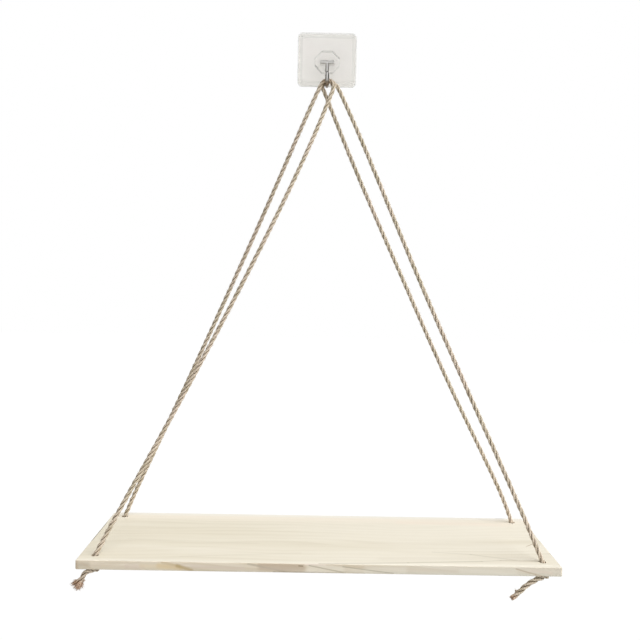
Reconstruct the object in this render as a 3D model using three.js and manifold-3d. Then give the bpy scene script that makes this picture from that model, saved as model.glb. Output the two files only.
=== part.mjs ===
// A board shelf that hangs on two rope loops from one adhesive wall hook.
//
// Lengths are millimetres. +Z is up, +X is to the right, and the wall is the plane Y = 0, so
// everything stands out toward -Y. The origin is the middle of the hook plate's back, on the wall.

import * as THREE from 'three';
import { mergeVertices } from 'three/addons/utils/BufferGeometryUtils.js';
import Module from 'manifold-3d';

// Shared clearances and cutting values
const seatGap = 0.3; // between two pieces that rest on each other
const cutOverrun = 1; // how far a cutter passes the face it cuts
const fullTurn = 2 * Math.PI;

// Board
const boardWidth = 450;
const boardDepth = 150;
const boardThickness = 8.6;
const boardEdgeRound = 0.7;
const boardCornerRadius = 1.5;
const boardWallGap = 0.5; // the back edge rests against the wall
const boardDrop = 464.6; // from the bottom of the hook's wire to the board's top
const holeDiameter = 6.5;
const holeEndInset = 14.5;
const holeEdgeInset = 14.5;

// Adhesive sheet and moulded plate
const plateWidth = 63;
const plateHeight = 57;
const plateCornerRadius = 5;
const borderThickness = 1.8;
const borderWidth = 4.5;
const fieldRise = 0.8;
const filmThickness = 0.5;
const filmInset = 1;

// Moulded housing for the hook's cross bar
const bossWidth = 26.4;
const bossHeight = 22.6;
const bossDrop = 4; // how far its middle lies below the plate's middle
const bossReach = 9.4; // how far it stands out from the raised field
const bossFaceRound = 1.6;
const bossCutWidth = 7.5; // each corner is cut off at 45 degrees
const windowWidth = 19; // a shallow recess in the housing's face, under a brow
const windowDepth = 1.3;
const windowDrop = 1.6; // from the plate's middle down to the brow
const windowCutWidth = 2.4;
const barRunningGap = 0.15; // around the cross bar in its seat
const stemSlotGap = 0.5; // beside the stem in its slot

// Wire hook
const wireDiameter = 4;
const barLength = 15;
const barHeight = -4.2; // the bar's axis, from the plate's middle
const barOffWall = 8.4;
const stemLength = 26; // from the bar's axis to the middle of the wire's lowest run
const cupReach = 17.2; // from the stem's axis to the tip's axis
const bendRadius = 6;
const tipRise = 12.7;

// Rope, its knots and its loose ends
const ropeDiameter = 4.5;
const knotStrandDiameter = 3; // the rope is drawn down where the knot is pulled tight
const knotRingRadius = 4.5;
const knotWindingRadius = 1.75;
const knotRunOut = 3.2; // the straight length where the rope leaves the knot
const knotRunOutDip = 1.1; // how far it sinks over that length

// Facets
const ropeSides = 10;
const knotSides = 8;
const wireSides = 14;
const holeSegments = 20;
const roundSegments = 4;

// Places that follow from the sizes above
const plateBackY = -filmThickness;
const borderFrontY = plateBackY - borderThickness;
const fieldFrontY = borderFrontY - fieldRise;
const bossFrontY = fieldFrontY - bossReach;
const barY = -barOffWall;
const wireRadius = wireDiameter / 2;
const cupZ = barHeight - stemLength;
const boardTopZ = cupZ - boardDrop;
const boardBottomZ = boardTopZ - boardThickness;
const boardMiddleY = -boardWallGap - boardDepth / 2;
const holeX = boardWidth / 2 - holeEndInset;
const holeOutY = boardDepth / 2 - holeEdgeInset;
const holes = {
  left_back: [-holeX, boardMiddleY + holeOutY],
  left_front: [-holeX, boardMiddleY - holeOutY],
  right_back: [holeX, boardMiddleY + holeOutY],
  right_front: [holeX, boardMiddleY - holeOutY],
};

// Rope routes, chosen by hand, from the underside of one hole over the wire to the other.
// The left rope lies on the front of the wire, climbs from the back hole, turns down on the
// wire's right side and crosses back to the left, in front of the right rope.
const leftRopeRoute = [
  [-210.5, -15, -503.4],
  [-210.5, -15, -499.1],
  [-210.2, -15, -494.8],
  [-207.5, -15.1, -488],
  [-197.8, -15.3, -465],
  [-177.4, -15.8, -420],
  [-149.8, -16.3, -360],
  [-122.9, -16.9, -300],
  [-96.4, -17.5, -240],
  [-70.3, -18, -180],
  [-49, -18.5, -130],
  [-32.3, -18.8, -90],
  [-20.4, -19.1, -62],
  [-13.2, -19.4, -45.5],
  [-8, -19.4, -34.2],
  [-5, -19.4, -28.6],
  [-0.9, -19.4, -25.6],
  [3.4, -19.4, -26.2],
  [6.3, -19.4, -29.6],
  [6.7, -19.5, -33.6],
  [4.9, -20.6, -39.4],
  [1.2, -23, -49.3],
  [-3.5, -25.9, -62],
  [-14.5, -32.4, -90],
  [-31.4, -41.6, -130],
  [-53.9, -53.6, -180],
  [-82.2, -68.3, -240],
  [-111.3, -83.5, -300],
  [-141.3, -99.1, -360],
  [-172.3, -115, -420],
  [-195.6, -127.3, -465],
  [-207, -133.8, -488],
  [-210.2, -135.6, -494.8],
  [-210.5, -136, -499.1],
  [-210.5, -136, -503.4],
];

// The right rope lies behind it on the wire, climbs from the front hole, turns down on the
// wire's left side and crosses back to the right.
const rightRopeRoute = [
  [210.5, -136, -503.4],
  [210.5, -136, -499.1],
  [210.2, -135.6, -494.8],
  [207.6, -133.7, -488],
  [198.3, -127.5, -465],
  [178.9, -115.3, -420],
  [152.1, -99.3, -360],
  [125.6, -83.4, -300],
  [99.7, -67.7, -240],
  [74.8, -52.2, -180],
  [54.3, -39.4, -130],
  [37.7, -29.3, -90],
  [25.6, -22.2, -62],
  [18.2, -18, -45.5],
  [12.9, -15, -34.2],
  [9.6, -14.7, -29.3],
  [5.6, -14.6, -26.3],
  [1.2, -14.6, -25.2],
  [-2.8, -14.6, -26.5],
  [-4.6, -14.6, -29.6],
  [-4.3, -14.6, -32.4],
  [-3, -14.6, -35.6],
  [-1.2, -14.6, -39.6],
  [3, -14.6, -49.5],
  [8.3, -14.7, -62],
  [20.2, -14.8, -90],
  [37.9, -15, -130],
  [60.8, -14.9, -180],
  [88.8, -15, -240],
  [116.8, -15, -300],
  [145.8, -15, -360],
  [176.5, -15, -420],
  [198.6, -15, -465],
  [208, -15, -488],
  [210.2, -15, -494.8],
  [210.5, -15, -499.1],
  [210.5, -15, -503.4],
];

// Loose ends, chosen by hand, measured from the end of the knot that each one leaves.
const tailRoutes = {
  left_front: [
    [0, 0, 0],
    [-2.6, -0.8, -1.4],
    [-4.9, -1.2, -4.4],
    [-6.7, -1.5, -8],
    [-7.8, -1.6, -11.6],
    [-8.3, -1.6, -14.8],
  ],
  left_back: [
    [0, 0, 0],
    [-3, -0.8, -1.8],
    [-5.6, -0.9, -5.2],
    [-7.2, -0.8, -10],
    [-8, -0.6, -15.4],
    [-8.2, -0.4, -21],
  ],
  right_front: [
    [0, 0, 0],
    [-3.3, -0.9, -1.1],
    [-8, -1.4, -3.4],
    [-12.9, -1.8, -6.6],
    [-18, -2.1, -10.4],
    [-23.4, -2.3, -15],
  ],
  right_back: [
    [0, 0, 0],
    [-3.2, -0.9, -1.3],
    [-6.8, -1.2, -3.6],
    [-9.8, -1.3, -7.8],
    [-11.6, -1.2, -13],
    [-12.4, -1, -18.6],
  ],
};

// Materials
function makeMaterial(color, roughness, metalness, opacity) {
  return new THREE.MeshStandardMaterial({
    color,
    roughness,
    metalness,
    opacity,
    transparent: opacity < 1,
  });
}

const pine = () => makeMaterial(0xe6dcc2, 0.7, 0, 1);
const jute = () => makeMaterial(0xa98f68, 0.95, 0, 1);
const clearPlastic = () => makeMaterial(0xe2dfda, 0.2, 0, 0.6);
const adhesive = () => makeMaterial(0xe9e7e2, 0.4, 0, 0.5);
const steel = () => makeMaterial(0xb9b9b6, 0.2, 1, 1);

// Joining and cutting of closed solids
const wasm = await Module();
wasm.setup();

function toSolid(geometry) {
  const bare = geometry.clone();
  bare.deleteAttribute('normal');
  bare.deleteAttribute('uv');
  const merged = mergeVertices(bare);
  const mesh = new wasm.Mesh({
    numProp: 3,
    vertProperties: new Float32Array(merged.attributes.position.array),
    triVerts: new Uint32Array(merged.index.array),
  });
  return new wasm.Manifold(mesh);
}

function toGeometry(solid) {
  const mesh = solid.getMesh();
  const geometry = new THREE.BufferGeometry();
  geometry.setAttribute('position', new THREE.BufferAttribute(mesh.vertProperties, 3));
  geometry.setIndex(new THREE.BufferAttribute(mesh.triVerts, 1));
  geometry.computeVertexNormals();
  return geometry;
}

function joinAll(solids) {
  return solids.reduce((whole, solid) => whole.add(solid));
}

function makePiece(name, geometry, material) {
  const piece = new THREE.Mesh(geometry, material);
  piece.name = name;
  return piece;
}

// Outlines
function roundedRectangle(width, height, radius) {
  const x = width / 2;
  const y = height / 2;
  const outline = new THREE.Shape();
  outline.moveTo(-x + radius, -y);
  outline.lineTo(x - radius, -y);
  outline.absarc(x - radius, -y + radius, radius, -Math.PI / 2, 0);
  outline.lineTo(x, y - radius);
  outline.absarc(x - radius, y - radius, radius, 0, Math.PI / 2);
  outline.lineTo(-x + radius, y);
  outline.absarc(-x + radius, y - radius, radius, Math.PI / 2, Math.PI);
  outline.lineTo(-x, -y + radius);
  outline.absarc(-x + radius, -y + radius, radius, Math.PI, (3 * Math.PI) / 2);
  return outline;
}

function cutCornerRectangle(width, height, cut) {
  const x = width / 2;
  const y = height / 2;
  const corners = [
    [x - cut, -y], [x, -y + cut], [x, y - cut], [x - cut, y],
    [-x + cut, y], [-x, y - cut], [-x, -y + cut], [-x + cut, -y],
  ];
  return new THREE.Shape(corners.map(([across, up]) => new THREE.Vector2(across, up)));
}

function circleOutline(radius, sides) {
  const points = [];
  for (let i = 0; i < sides; i += 1) {
    const angle = (i * fullTurn) / sides;
    points.push(new THREE.Vector2(radius * Math.cos(angle), radius * Math.sin(angle)));
  }
  return new THREE.Shape(points);
}

// A slab whose outline lies in X and Z and whose back is at backY, standing out toward -Y. Both
// of its faces have the same rounding, and the rear one is buried in the piece that it joins.
function wallSlab(outline, backY, thickness, faceRound = 0, segments = 1) {
  const geometry = new THREE.ExtrudeGeometry(outline, {
    depth: thickness - 2 * faceRound,
    bevelEnabled: faceRound > 0,
    bevelThickness: faceRound,
    bevelSize: faceRound,
    bevelOffset: -faceRound,
    bevelSegments: segments,
    curveSegments: roundSegments,
  });
  geometry.rotateX(Math.PI / 2);
  geometry.translate(0, backY - faceRound, 0);
  return geometry;
}

// A box given by its lowest and highest corners.
function boxBetween(low, high) {
  const size = high.map((value, i) => value - low[i]);
  const geometry = new THREE.BoxGeometry(...size);
  geometry.translate(...high.map((value, i) => (value + low[i]) / 2));
  return geometry;
}

// A path through chosen points, with the same number of steps between each pair of them.
class RoutePath extends THREE.CatmullRomCurve3 {
  constructor(points) {
    super(points.map((point) => new THREE.Vector3(...point)), false, 'centripetal');
  }

  getPointAt(share, target) {
    return this.getPoint(share, target);
  }

  getTangentAt(share, target) {
    return this.getTangent(share, target);
  }
}

function tubeAlong(path, radius, sides, steps) {
  return new THREE.ExtrudeGeometry(circleOutline(radius, sides), {
    steps,
    bevelEnabled: false,
    extrudePath: path,
  });
}

// Board: a thin plank with eased edges and a rope hole near each corner
function makeBoard() {
  const outline = roundedRectangle(boardWidth, boardDepth, boardCornerRadius);
  for (const [x, y] of Object.values(holes)) {
    const hole = new THREE.Path();
    hole.absarc(x, y - boardMiddleY, holeDiameter / 2, 0, fullTurn, true);
    outline.holes.push(hole);
  }
  const geometry = new THREE.ExtrudeGeometry(outline, {
    depth: boardThickness - 2 * boardEdgeRound,
    bevelThickness: boardEdgeRound,
    bevelSize: boardEdgeRound,
    bevelOffset: -boardEdgeRound,
    bevelSegments: 2,
    curveSegments: holeSegments,
  });
  geometry.translate(0, boardMiddleY, boardBottomZ + boardEdgeRound);
  return makePiece('board', geometry, pine());
}

// Adhesive sheet: flat, a little smaller than the plate that it holds
function makeAdhesiveFilm() {
  const outline = roundedRectangle(
    plateWidth - 2 * filmInset,
    plateHeight - 2 * filmInset,
    plateCornerRadius - filmInset,
  );
  return makePiece('adhesive_film', wallSlab(outline, 0, filmThickness), adhesive());
}

// Plate: one clear moulding, hollow from behind. The cross bar goes in from the back and lies in
// a half-round seat; the stem leaves through a slot that is open to the front and below, which
// lets the hook swing up.
function makeWallPlate() {
  const border = roundedRectangle(plateWidth, plateHeight, plateCornerRadius);
  const field = roundedRectangle(
    plateWidth - 2 * borderWidth,
    plateHeight - 2 * borderWidth,
    plateCornerRadius - borderWidth / 2,
  );
  const boss = cutCornerRectangle(bossWidth, bossHeight, bossCutWidth);
  const fieldDepth = borderThickness + fieldRise;
  const bossSlab = wallSlab(boss, plateBackY, fieldDepth + bossReach, bossFaceRound, roundSegments);
  bossSlab.translate(0, 0, -bossDrop);
  const body = joinAll([
    toSolid(wallSlab(border, plateBackY, borderThickness)),
    toSolid(wallSlab(field, plateBackY, fieldDepth, fieldRise)),
    toSolid(bossSlab),
  ]);

  const seatRadius = wireRadius + barRunningGap;
  const halfSeat = barLength / 2 + stemSlotGap;
  const seat = new THREE.CylinderGeometry(seatRadius, seatRadius, 2 * halfSeat, 2 * wireSides);
  seat.rotateZ(Math.PI / 2);
  seat.translate(0, barY, barHeight);
  const backWay = boxBetween(
    [-halfSeat, barY, barHeight - seatRadius],
    [halfSeat, plateBackY + cutOverrun, barHeight + seatRadius],
  );
  const halfSlot = wireRadius + stemSlotGap;
  const stemSlot = boxBetween(
    [-halfSlot, bossFrontY - cutOverrun, -bossDrop - bossHeight / 2 - cutOverrun],
    [halfSlot, barY + wireRadius + seatGap, barHeight + seatRadius],
  );
  const windowHeight = bossDrop + bossHeight / 2 - windowDrop + windowCutWidth + cutOverrun;
  const recess = wallSlab(
    cutCornerRectangle(windowWidth, windowHeight, windowCutWidth),
    bossFrontY + windowDepth,
    windowDepth + cutOverrun,
  );
  recess.translate(0, 0, -windowDrop - windowHeight / 2);
  const cutters = [seat, backWay, stemSlot, recess];
  const moulding = cutters.reduce((solid, cutter) => solid.subtract(toSolid(cutter)), body);
  return makePiece('wall_plate', toGeometry(moulding), clearPlastic());
}

// Keeper: the plug that closes the way in behind the cross bar
function makeBarKeeper() {
  const halfWidth = barLength / 2 + stemSlotGap - seatGap;
  const halfHeight = wireRadius + barRunningGap - seatGap;
  const keeper = boxBetween(
    [-halfWidth, barY + wireRadius + seatGap, barHeight - halfHeight],
    [halfWidth, plateBackY, barHeight + halfHeight],
  );
  return makePiece('bar_keeper', keeper, clearPlastic());
}

// Wire hook: a cross bar with a stem that runs down, out and up to a rounded tip
class WireBend extends THREE.Curve {
  constructor(middleY, middleZ, startAngle) {
    super();
    this.middleY = middleY;
    this.middleZ = middleZ;
    this.startAngle = startAngle;
  }

  getPoint(share, target = new THREE.Vector3()) {
    const angle = this.startAngle - (share * Math.PI) / 2;
    const y = this.middleY + bendRadius * Math.cos(angle);
    const z = this.middleZ + bendRadius * Math.sin(angle);
    return target.set(0, y, z);
  }
}

function makeWireHook() {
  const tipY = barY - cupReach;
  const bendZ = cupZ + bendRadius;
  const tipZ = cupZ + tipRise - wireRadius;
  const at = (y, z) => new THREE.Vector3(0, y, z);
  const wirePath = new THREE.CurvePath();
  wirePath.add(new THREE.LineCurve3(at(barY, barHeight), at(barY, bendZ)));
  wirePath.add(new WireBend(barY - bendRadius, bendZ, 0));
  wirePath.add(new THREE.LineCurve3(at(barY - bendRadius, cupZ), at(tipY + bendRadius, cupZ)));
  wirePath.add(new WireBend(tipY + bendRadius, bendZ, -Math.PI / 2));
  wirePath.add(new THREE.LineCurve3(at(tipY, bendZ), at(tipY, tipZ)));
  const stepLength = wireDiameter / 3;
  const wire = tubeAlong(wirePath, wireRadius, wireSides, Math.round(wirePath.getLength() / stepLength));

  const tip = new THREE.SphereGeometry(wireRadius, wireSides, wireSides / 2);
  tip.translate(0, tipY, tipZ);

  const endRound = wireRadius / 4;
  const profile = [
    [0, 0],
    [wireRadius - endRound, 0],
    [wireRadius, endRound],
    [wireRadius, barLength - endRound],
    [wireRadius - endRound, barLength],
    [0, barLength],
  ];
  const bar = new THREE.LatheGeometry(profile.map(([r, along]) => new THREE.Vector2(r, along)), wireSides);
  bar.translate(0, -barLength / 2, 0);
  bar.rotateZ(Math.PI / 2);
  bar.translate(0, barY, barHeight);
  const hook = joinAll([toSolid(wire), toSolid(tip), toSolid(bar)]);
  return makePiece('wire_hook', toGeometry(hook), steel());
}

// Ropes: each is one length, from the underside of one hole over the wire to the other
function makeRope(name, route) {
  const stepsBetween = 2;
  const steps = (route.length - 1) * stepsBetween;
  return makePiece(name, tubeAlong(new RoutePath(route), ropeDiameter / 2, ropeSides, steps), jute());
}

// Knot: an overhand knot, which is a trefoil left open. The rope comes down into an inner pass,
// winds twice around the ring and leaves along the ring's edge, under the last crossing. It is
// wound clockwise seen from above, so that it leaves toward -X on the side away from the wall.
function knotRoute([holeAcross, holeOut]) {
  const firstTurnShare = 1.1;
  const lastTurnShare = 5.5;
  const pointCount = 22;
  const middleZ = boardBottomZ - seatGap - knotWindingRadius - knotStrandDiameter / 2;
  const place = (winding) => {
    const radius = knotRingRadius + knotWindingRadius * Math.cos(winding);
    const angle = Math.PI - (2 * winding) / 3;
    return new THREE.Vector3(
      radius * Math.cos(angle),
      radius * Math.sin(angle),
      knotWindingRadius * Math.sin(winding),
    );
  };
  const turns = [];
  for (let i = 0; i < pointCount; i += 1) {
    const share = firstTurnShare + ((lastTurnShare - firstTurnShare) * i) / (pointCount - 1);
    turns.push(place(Math.PI * share));
  }
  const entry = place(Math.PI);
  const entryTop = boardBottomZ - seatGap - middleZ;
  const leadIn = [
    new THREE.Vector3(entry.x, entry.y, entryTop),
    new THREE.Vector3(entry.x, entry.y, entryTop - knotStrandDiameter / 3),
  ];
  const last = turns[pointCount - 1];
  const heading = last.clone().sub(turns[pointCount - 2]).setZ(0).setLength(knotRunOut);
  const leadOut = [
    last.clone().addScaledVector(heading, 0.5).setZ(last.z - knotRunOutDip / 4),
    last.clone().add(heading).setZ(last.z - knotRunOutDip),
  ];
  return [...leadIn, ...turns, ...leadOut].map((point) => [
    point.x - entry.x + holeAcross,
    point.y - entry.y + holeOut,
    point.z + middleZ,
  ]);
}

function makeKnot(name, hole) {
  const route = knotRoute(hole);
  const stepsBetween = 2;
  const steps = (route.length - 1) * stepsBetween;
  const tube = tubeAlong(new RoutePath(route), knotStrandDiameter / 2, knotSides, steps);
  return makePiece(name, tube, jute());
}

// The least distance between two stretches of a knot that aren't neighbours along it, less the
// strand's own thickness.
function leastKnotGap() {
  const points = new RoutePath(knotRoute([0, 0])).getPoints(300);
  const along = [0];
  for (let i = 1; i < points.length; i += 1) {
    along.push(along[i - 1] + points[i].distanceTo(points[i - 1]));
  }
  let least = Infinity;
  for (let i = 0; i < points.length; i += 1) {
    for (let j = i + 1; j < points.length; j += 1) {
      if (along[j] - along[i] > 2 * knotStrandDiameter) {
        least = Math.min(least, points[i].distanceTo(points[j]));
      }
    }
  }
  return least - knotStrandDiameter;
}

// Loose end: the cut rope beyond a knot, which bends down under its own weight
function makeTail(name, hole, offsets) {
  const knot = new RoutePath(knotRoute(hole));
  const start = knot.getPoint(1).addScaledVector(knot.getTangent(1), seatGap);
  const route = offsets.map(([x, y, z]) => [start.x + x, start.y + y, start.z + z]);
  const stepsBetween = 2;
  const steps = (route.length - 1) * stepsBetween;
  return makePiece(name, tubeAlong(new RoutePath(route), ropeDiameter / 2, ropeSides, steps), jute());
}

console.log(`least gap of a knot to itself: ${leastKnotGap().toFixed(2)} mm`);

const shelf = new THREE.Group();
shelf.add(makeAdhesiveFilm(), makeWallPlate(), makeBarKeeper(), makeWireHook(), makeBoard());
shelf.add(makeRope('rope_left', leftRopeRoute), makeRope('rope_right', rightRopeRoute));
for (const [corner, hole] of Object.entries(holes)) {
  shelf.add(makeKnot(`knot_${corner}`, hole), makeTail(`tail_${corner}`, hole, tailRoutes[corner]));
}

export default shelf;
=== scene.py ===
# %% [markdown]
# # A board shelf on two rope loops
#
# A thin pine board hangs from one clear wall hook. Two jute ropes carry it: each one comes up
# through a hole, goes over the wire of the hook and down through the next hole, and is knotted
# under the board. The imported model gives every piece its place, so the first step loads it.
# Everything is in metres, +Z is up and the wall is the plane Y = 0.

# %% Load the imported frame
import math
import random
from functools import partialmethod

import bmesh
import bpy
from mathutils import Color, Matrix, Vector


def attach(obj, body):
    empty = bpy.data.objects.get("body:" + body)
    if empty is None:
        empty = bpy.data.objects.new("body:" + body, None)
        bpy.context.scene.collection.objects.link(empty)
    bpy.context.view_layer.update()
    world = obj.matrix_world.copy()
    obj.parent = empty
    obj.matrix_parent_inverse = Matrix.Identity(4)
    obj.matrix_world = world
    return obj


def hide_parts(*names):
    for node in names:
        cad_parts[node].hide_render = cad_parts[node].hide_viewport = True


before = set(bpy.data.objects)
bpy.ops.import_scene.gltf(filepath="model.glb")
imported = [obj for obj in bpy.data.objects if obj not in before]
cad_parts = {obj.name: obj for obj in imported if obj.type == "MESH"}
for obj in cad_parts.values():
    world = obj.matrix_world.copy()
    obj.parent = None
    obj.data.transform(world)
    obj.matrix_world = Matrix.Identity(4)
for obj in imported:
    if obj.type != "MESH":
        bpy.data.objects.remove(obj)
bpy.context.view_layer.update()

MM = 0.001
print("CAD nodes:", ", ".join(sorted(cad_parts)))

# %% [markdown]
# ## The camera
#
# A camera can be placed by eye, or solved for: the place from which known points fall on measured
# pixels. That is exact, so the numbers below were solved for from the plate, the board's corners
# and its holes.

# %% Place the camera
FRAME_PIXELS = 640
FOCAL_PIXELS = 814.8
CAMERA_PLACE = Vector((-0.01085, -0.88707, -0.22455))
CAMERA_YAW, CAMERA_PITCH, CAMERA_ROLL = 0.0095, -0.0606, 0.0189
NEAREST, FARTHEST = 0.01, 50

lens = bpy.data.cameras.new("camera")
lens.sensor_fit = "HORIZONTAL"
lens.lens = lens.sensor_width * FOCAL_PIXELS / FRAME_PIXELS
lens.clip_start, lens.clip_end = NEAREST, FARTHEST
camera = bpy.data.objects.new("camera", lens)
bpy.context.scene.collection.objects.link(camera)

# Turned about the vertical, tipped up from looking straight down, and rolled about its own view.
turn = (Matrix.Rotation(-CAMERA_YAW, 4, "Z") @ Matrix.Rotation(math.pi / 2 + CAMERA_PITCH, 4, "X")
        @ Matrix.Rotation(CAMERA_ROLL, 4, "Z"))
camera.matrix_world = Matrix.Translation(CAMERA_PLACE) @ turn
bpy.context.scene.camera = camera
print("lens", round(lens.lens, 2), "mm")

# %% [markdown]
# ## The run of each rope
#
# The rope is one length from frayed end to frayed end: loose end, knot, up through the board,
# over the wire, down through the board, knot, loose end. The runs between the holes are given
# points with the slight sag of a soft rope. The knot is an overhand knot, a trefoil
# left open, so a formula gives it better than points do. A centripetal Catmull-Rom curve through
# all of them stays smooth without overshooting.

# %% The routes, in millimetres
LEFT_RUN = [
    (-210.5, -15, -503.4), (-210.5, -15, -499.1), (-210.2, -15, -494.8), (-207.5, -15.1, -488),
    (-197.8, -15.3, -465), (-177.4, -15.8, -420), (-149.8, -16.3, -360), (-122.9, -16.9, -300),
    (-96.4, -17.5, -240), (-70.3, -18, -180), (-49, -18.5, -130), (-32.3, -18.8, -90),
    (-20.4, -19.1, -62), (-13.2, -19.4, -45.5), (-8, -19.4, -34.2), (-5, -19.4, -28.6),
    (-0.9, -19.4, -25.6), (3.4, -19.4, -26.2), (6.3, -19.4, -29.6), (6.7, -19.5, -33.6),
    (4.9, -20.6, -39.4), (1.2, -23, -49.3), (-3.5, -25.9, -62), (-14.5, -32.4, -90),
    (-31.4, -41.6, -130), (-53.9, -53.6, -180), (-82.2, -68.3, -240), (-111.3, -83.5, -300),
    (-141.3, -99.1, -360), (-172.3, -115, -420), (-195.6, -127.3, -465), (-207, -133.8, -488),
    (-210.2, -135.6, -494.8), (-210.5, -136, -499.1), (-210.5, -136, -503.4),
]
RIGHT_RUN = [
    (210.5, -136, -503.4), (210.5, -136, -499.1), (210.2, -135.6, -494.8), (207.6, -133.7, -488),
    (198.3, -127.5, -465), (178.9, -115.3, -420), (152.1, -99.3, -360), (125.6, -83.4, -300),
    (99.7, -67.7, -240), (74.8, -52.2, -180), (54.3, -39.4, -130), (37.7, -29.3, -90),
    (25.6, -22.2, -62), (18.2, -18, -45.5), (12.9, -15, -34.2), (9.6, -14.7, -29.3),
    (5.6, -14.6, -26.3), (1.2, -14.6, -25.2), (-2.8, -14.6, -26.5), (-4.6, -14.6, -29.6),
    (-4.3, -14.6, -32.4), (-3, -14.6, -35.6), (-1.2, -14.6, -39.6), (3, -14.6, -49.5),
    (8.3, -14.7, -62), (20.2, -14.8, -90), (37.9, -15, -130), (60.8, -14.9, -180),
    (88.8, -15, -240), (116.8, -15, -300), (145.8, -15, -360), (176.5, -15, -420),
    (198.6, -15, -465), (208, -15, -488), (210.2, -15, -494.8), (210.5, -15, -499.1),
    (210.5, -15, -503.4),
]
# The loose ends start from where the rope leaves its knot.
LOOSE_ENDS = {
    "left_front": [(-1.7, -0.6, -2.6), (-3.9, -1, -5.8), (-5.7, -1.4, -8.6), (-6.9, -1.6, -11)],
    "left_back": [(-3, -0.8, -2.8), (-5.6, -0.9, -6.2), (-7.2, -0.8, -11),
                  (-8, -0.6, -16.4), (-8.2, -0.4, -19.5)],
    "right_front": [(-3.4, -0.8, -1.5), (-7.6, -1.2, -3.8), (-12.6, -1.6, -7.9),
                    (-18.3, -2, -13), (-23.2, -2.2, -17.5)],
    "right_back": [(-3.2, -0.9, -2.3), (-6.8, -1.2, -4.6), (-9.8, -1.3, -8.8),
                   (-11.6, -1.2, -14), (-12.2, -1.1, -17.5)],
}
print("points on each run:", len(LEFT_RUN), len(RIGHT_RUN))

# %% The knot, an open trefoil under its hole
# Lengths are in millimetres, and turns in half circles of the strand's winding.
KNOT_RING = 4.5
KNOT_WINDING = 1.75
KNOT_HEIGHT = 1.25
KNOT_TOP = -0.3
KNOT_ROPE_RADIUS = 1.45
KNOT_RUN_OUT, KNOT_RUN_OUT_DIP = 3.2, 1.1
KNOT_POINTS = 22
KNOT_FIRST_TURN, KNOT_LAST_TURN = 1.1, 5.5


def knot_turn(winding):
    """A point of the trefoil, which winds three times while it goes twice around its ring."""
    radius = KNOT_RING + KNOT_WINDING * math.cos(winding)
    angle = math.pi - 2 * winding / 3
    height = KNOT_HEIGHT * math.sin(winding)
    return Vector((radius * math.cos(angle), radius * math.sin(angle), height))


def knot_route(hole):
    """Points of the knot below a hole's lower rim, from the hole to where the rope leaves it."""
    turns = []
    for step in range(KNOT_POINTS):
        share = step / (KNOT_POINTS - 1)
        turns.append(knot_turn(math.pi * (KNOT_FIRST_TURN * (1 - share) + KNOT_LAST_TURN * share)))
    entry = knot_turn(math.pi)
    middle = Vector((-entry.x, -entry.y, KNOT_TOP - KNOT_HEIGHT - KNOT_ROPE_RADIUS))
    away = turns[-1] - turns[-2]
    away.z = 0
    away.length = KNOT_RUN_OUT
    half_way = turns[-1] + away / 2 - Vector((0, 0, KNOT_RUN_OUT_DIP / 4))
    leaving = turns[-1] + away - Vector((0, 0, KNOT_RUN_OUT_DIP))
    return [Vector(hole) + (point + middle) * MM for point in [*turns, half_way, leaving]]


print("knot leaves its hole by", [round(v / MM, 1) for v in knot_route((0, 0, 0))[-1]], "mm")

# %% A smooth curve through points, sampled in even steps
STEP = 0.9 * MM
FINER = 4


def smooth_path(points):
    chain = [2 * points[0] - points[1], *points, 2 * points[-1] - points[-2]]
    dense = [points[0].copy()]
    for before, start, end, after in zip(chain, chain[1:], chain[2:], chain[3:]):
        t0, t1, t2 = (math.sqrt((q - p).length) for p, q in
                      ((before, start), (start, end), (end, after)))
        leave = t1 * ((start - before) / t0 - (end - before) / (t0 + t1) + (end - start) / t1)
        reach = t1 * ((end - start) / t1 - (after - start) / (t1 + t2) + (after - end) / t2)
        pieces = max(2, round(FINER * (end - start).length / STEP))
        for piece in range(1, pieces + 1):
            t = piece / pieces
            dense.append(start * (2 * t**3 - 3 * t**2 + 1) + leave * (t**3 - 2 * t**2 + t)
                         + end * (3 * t**2 - 2 * t**3) + reach * (t**3 - t**2))
    return even_steps(dense)


def even_steps(dense):
    along = [0.0]
    for p, q in zip(dense, dense[1:]):
        along.append(along[-1] + (q - p).length)
    count = round(along[-1] / STEP)
    even, i = [], 0
    for step in range(count + 1):
        wanted = along[-1] * step / count
        while i < len(dense) - 2 and along[i + 1] < wanted:
            i += 1
        share = (wanted - along[i]) / (along[i + 1] - along[i])
        even.append(dense[i].lerp(dense[i + 1], share))
    return even


def path_length(points):
    return sum((q - p).length for p, q in zip(points, points[1:]))


# %% Join the stretches of each rope into one path
CORNERS = {"left": ("left_back", "left_front"), "right": ("right_front", "right_back")}


def whole_rope(run, corners):
    """The rope's centreline, and the numbers of its points at the two lower rims of the holes."""
    run = [Vector([number * MM for number in point]) for point in run]
    ends = []
    for hole, corner in zip((run[0], run[-1]), corners):
        knot = knot_route(hole)
        loose = [knot[-1] + Vector(offset) * MM for offset in LOOSE_ENDS[corner]]
        ends.append([*knot, *loose])
    path = smooth_path([*reversed(ends[0]), *run, *ends[1]])
    rims = [min(range(len(path)), key=lambda i: (path[i] - rim).length)
            for rim in (run[0], run[-1])]
    return path, rims


routes = {"left": whole_rope(LEFT_RUN, CORNERS["left"]),
          "right": whole_rope(RIGHT_RUN, CORNERS["right"])}
for side, (path, rims) in routes.items():
    between = path_length(path[rims[0]:rims[1] + 1])
    print(side, "rope:", round(path_length(path), 3), "m in all,",
          round(between, 3), "m between holes")

# %% [markdown]
# ## Laying the rope
#
# Jute rope of this size is three strands laid to the right: seen upright, they climb like the
# stroke of a slash. A texture on a plain tube would show that flat, so each strand is a tube of
# its own on a helix around the path. The frame that carries the helix is turned as little as
# possible from point to point, so the lay doesn't bunch where the rope bends.

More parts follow.
